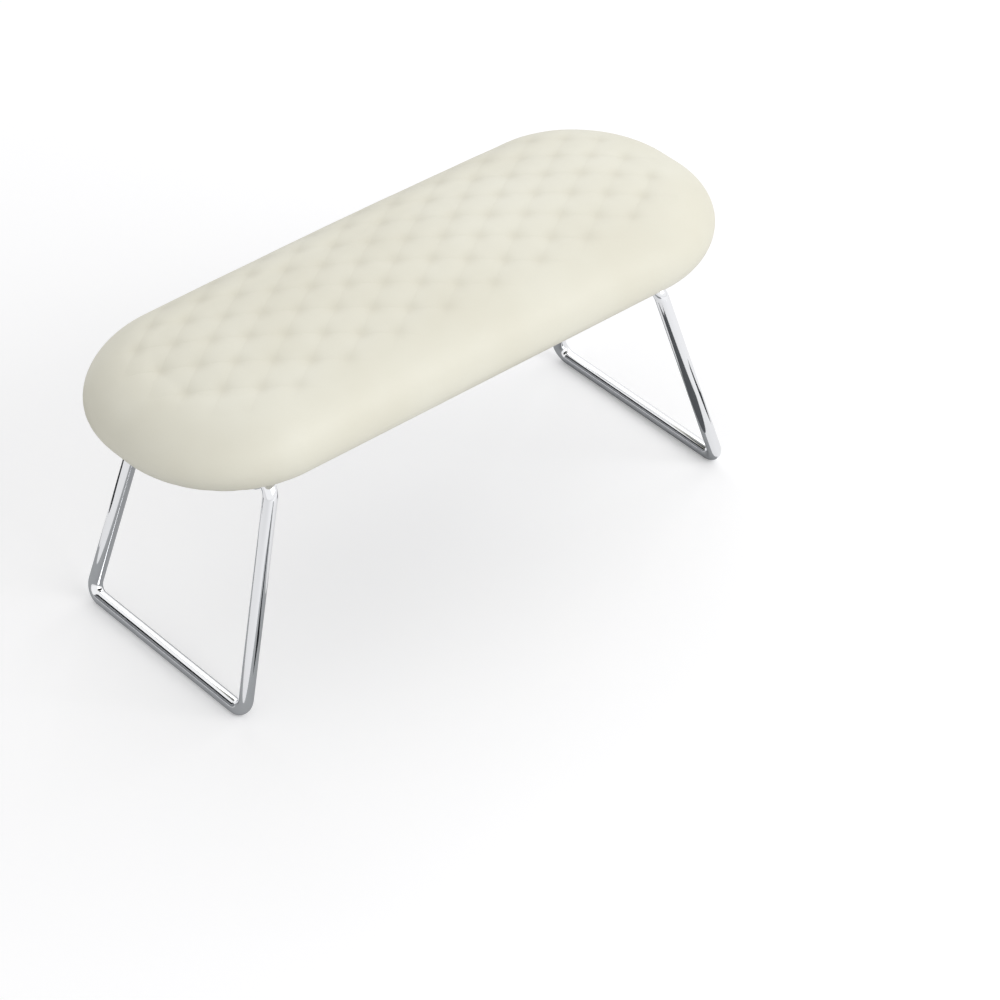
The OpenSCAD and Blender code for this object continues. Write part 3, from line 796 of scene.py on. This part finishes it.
def quiltCover(piece, flat, last):  # flat has the even form's points, and last its inner face's first
    mesh = piece.data
    # painted shade for the channels and crossings, kept in the "pressed" attribute
    shadeMarks = mesh.attributes.new("pressed", "FLOAT", "POINT")
    places = [vertex.co.copy() for vertex in mesh.vertices]
    outward = [1 if k < last else -1 for k in range(len(places))]
    movePoints(mesh, [swellAt(place) * side for place, side in zip(places, outward)])
    drops = []
    for number, (x, y, z) in enumerate(flat):
        drop, shadeMark = 0, 0
        if number < last and z > form["base"] + form["lowerRound"]:
            drop, shadeMark = quiltAt(x, y)
        elif number < last:
            drop = gatherAt(x, y)
        shadeMarks.data[number].value = shadeMark
        drops.append(-drop)
    movePoints(mesh, drops)


points, faces, last = coverMesh()
cover = addPiece("quilted_cover", [shaped(*place) for place in points], faces, leatherMaterial(), "cushion")
quiltCover(cover, points, last)
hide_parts("cover")
print("cover made:", len(points), "points")


def foamMesh():  # hollow underneath, where the board lies
    boardLow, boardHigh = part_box("base_board")
    hollow = coverHigh[0] + boardLow[0] - form["foamGap"]
    return ringMesh([(hollow, boardHigh[2]), (hollow, form["base"] + form["foamInset"])] + foamRings())


points, faces = foamMesh()
pad = addPiece("foam_block", points, faces, foamMaterial(), "cushion")
movePoints(pad.data, [swellAt(Vector(place)) for place in points])
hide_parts("foam_pad")
print("foam made")

# The lining: one thin cloth stretched over the board's underside, its edge folded in
liningLow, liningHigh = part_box("underside_lining")
liningSheet = {
    "inset": form["halfLength"] - liningHigh[0],
    "fold": 9 * mm,              # width of the folded edge
    "step": 0.28 * mm,           # the single layer stands this far back from the fold
    "single": (40 * mm, 32 * mm, 22 * mm, 14 * mm),  # rings of the single layer, from the outline
    "cutSlope": 0.6 * mm,        # width in which the cloth bends over the fold's cut edge
    "insideCut": 0.9,            # share of the step on that edge's inner side
    "outsideCut": 0.02 * mm,     # and height on its outer side
    "folded": [(7 * mm, 0), (3 * mm, 0), (0.5 * mm, 0)],  # inset and height along the folded layer,
    "turned": [(0.15 * mm, 0.04 * mm), (0, 0.15 * mm), (0.05 * mm, 0.3 * mm), (0.5 * mm, 0.5 * mm)],
    "upper": 0.6 * mm,           # round its edge, and where that meets the board
}


def liningMesh():
    fold, step = liningSheet["fold"], liningSheet["step"]
    profile = [(inset, step) for inset in liningSheet["single"]]
    profile.append((fold + liningSheet["cutSlope"], step * liningSheet["insideCut"]))
    profile.append((fold, liningSheet["outsideCut"]))
    profile += liningSheet["folded"] + liningSheet["turned"]
    profile.append((liningSheet["upper"], liningHigh[2] - liningLow[2]))
    points, size = [], len(ringAt(0))
    for inset, height in profile:
        points += [(x, y, liningLow[2] + height) for x, y in ringAt(liningSheet["inset"] + inset)]
    faces = bandFaces(len(profile), size)
    faces.append(tuple(range(size))[::-1])
    faces.append(tuple((len(profile) - 1) * size + k for k in range(size)))
    return points, faces


points, faces = liningMesh()
cloth = addPiece("lining_cloth", points, faces, liningMaterial(), "cushion")
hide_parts("underside_lining")
print("lining made")
